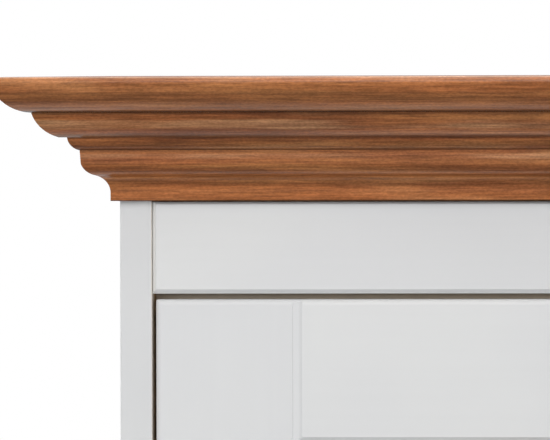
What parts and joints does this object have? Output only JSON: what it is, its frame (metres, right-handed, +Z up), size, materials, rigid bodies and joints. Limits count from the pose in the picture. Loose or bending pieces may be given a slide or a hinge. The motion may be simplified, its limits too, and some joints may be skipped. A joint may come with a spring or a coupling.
{
  "type": "chest of drawers",
  "caption": "White chest of drawers with framed fronts, round wooden knobs, a stepped honey-stained wood cornice top and a plinth with bracket feet.",
  "frame": {"origin": "on the floor, under the middle of the overall box", "axes": "+Z up, drawer fronts face -Y, +X to the right when seen from the front"},
  "size_m": [1.0098, 0.485, 0.9784],
  "materials": {
    "white_lacquer": "satin white paint over wood",
    "stained_wood": "honey stain under satin lacquer",
    "natural_pine": "planed, clear sealed",
    "beech": "planed, bare",
    "plywood": "sanded plywood",
    "screw_steel": "zinc plated",
    "glide_plastic": "matte black"
  },
  "bodies": {
    "carcass": {"back_panel": "plywood", "bottom_panel": "natural_pine", "carcass_dowels": "beech", "carcass_screws": "screw_steel", "cornice_back": "stained_wood", "drawer_runners": "beech", "foot_glides": "glide_plastic", "frieze_board": "white_lacquer", "front_rails": "natural_pine", "left_side_panel": "white_lacquer", "lower_cornice_front": "stained_wood", "lower_cornice_left": "stained_wood", "lower_cornice_right": "stained_wood", "plinth_back": "natural_pine", "plinth_corner_blocks": "natural_pine", "plinth_front": "white_lacquer", "plinth_left": "white_lacquer", "plinth_right": "white_lacquer", "right_side_panel": "white_lacquer", "sub_top_panel": "natural_pine", "top_board": "stained_wood", "upper_cornice_front": "stained_wood", "upper_cornice_left": "stained_wood", "upper_cornice_right": "stained_wood"},
    "drawer_1": {"drawer_1_bottom_rail": "white_lacquer", "drawer_1_box_back": "natural_pine", "drawer_1_box_bottom": "plywood", "drawer_1_box_front": "natural_pine", "drawer_1_box_left_side": "natural_pine", "drawer_1_box_right_side": "natural_pine", "drawer_1_knobs": "stained_wood", "drawer_1_left_stile": "white_lacquer", "drawer_1_panel": "white_lacquer", "drawer_1_right_stile": "white_lacquer", "drawer_1_screws": "screw_steel", "drawer_1_top_rail": "white_lacquer"},
    "drawer_2": {"drawer_2_bottom_rail": "white_lacquer", "drawer_2_box_back": "natural_pine", "drawer_2_box_bottom": "plywood", "drawer_2_box_front": "natural_pine", "drawer_2_box_left_side": "natural_pine", "drawer_2_box_right_side": "natural_pine", "drawer_2_knobs": "stained_wood", "drawer_2_left_stile": "white_lacquer", "drawer_2_panel": "white_lacquer", "drawer_2_right_stile": "white_lacquer", "drawer_2_screws": "screw_steel", "drawer_2_top_rail": "white_lacquer"},
    "drawer_3": {"drawer_3_bottom_rail": "white_lacquer", "drawer_3_box_back": "natural_pine", "drawer_3_box_bottom": "plywood", "drawer_3_box_front": "natural_pine", "drawer_3_box_left_side": "natural_pine", "drawer_3_box_right_side": "natural_pine", "drawer_3_knobs": "stained_wood", "drawer_3_left_stile": "white_lacquer", "drawer_3_panel": "white_lacquer", "drawer_3_right_stile": "white_lacquer", "drawer_3_screws": "screw_steel", "drawer_3_top_rail": "white_lacquer"}
  },
  "joints": [
    {"name": "drawer_1_slide", "type": "slide", "parent": "carcass", "child": "drawer_1", "axis": [0, -1, 0], "range_m": [0, 0.29]},
    {"name": "drawer_2_slide", "type": "slide", "parent": "carcass", "child": "drawer_2", "axis": [0, -1, 0], "range_m": [0, 0.29]},
    {"name": "drawer_3_slide", "type": "slide", "parent": "carcass", "child": "drawer_3", "axis": [0, -1, 0], "range_m": [0, 0.29]}
  ]
}
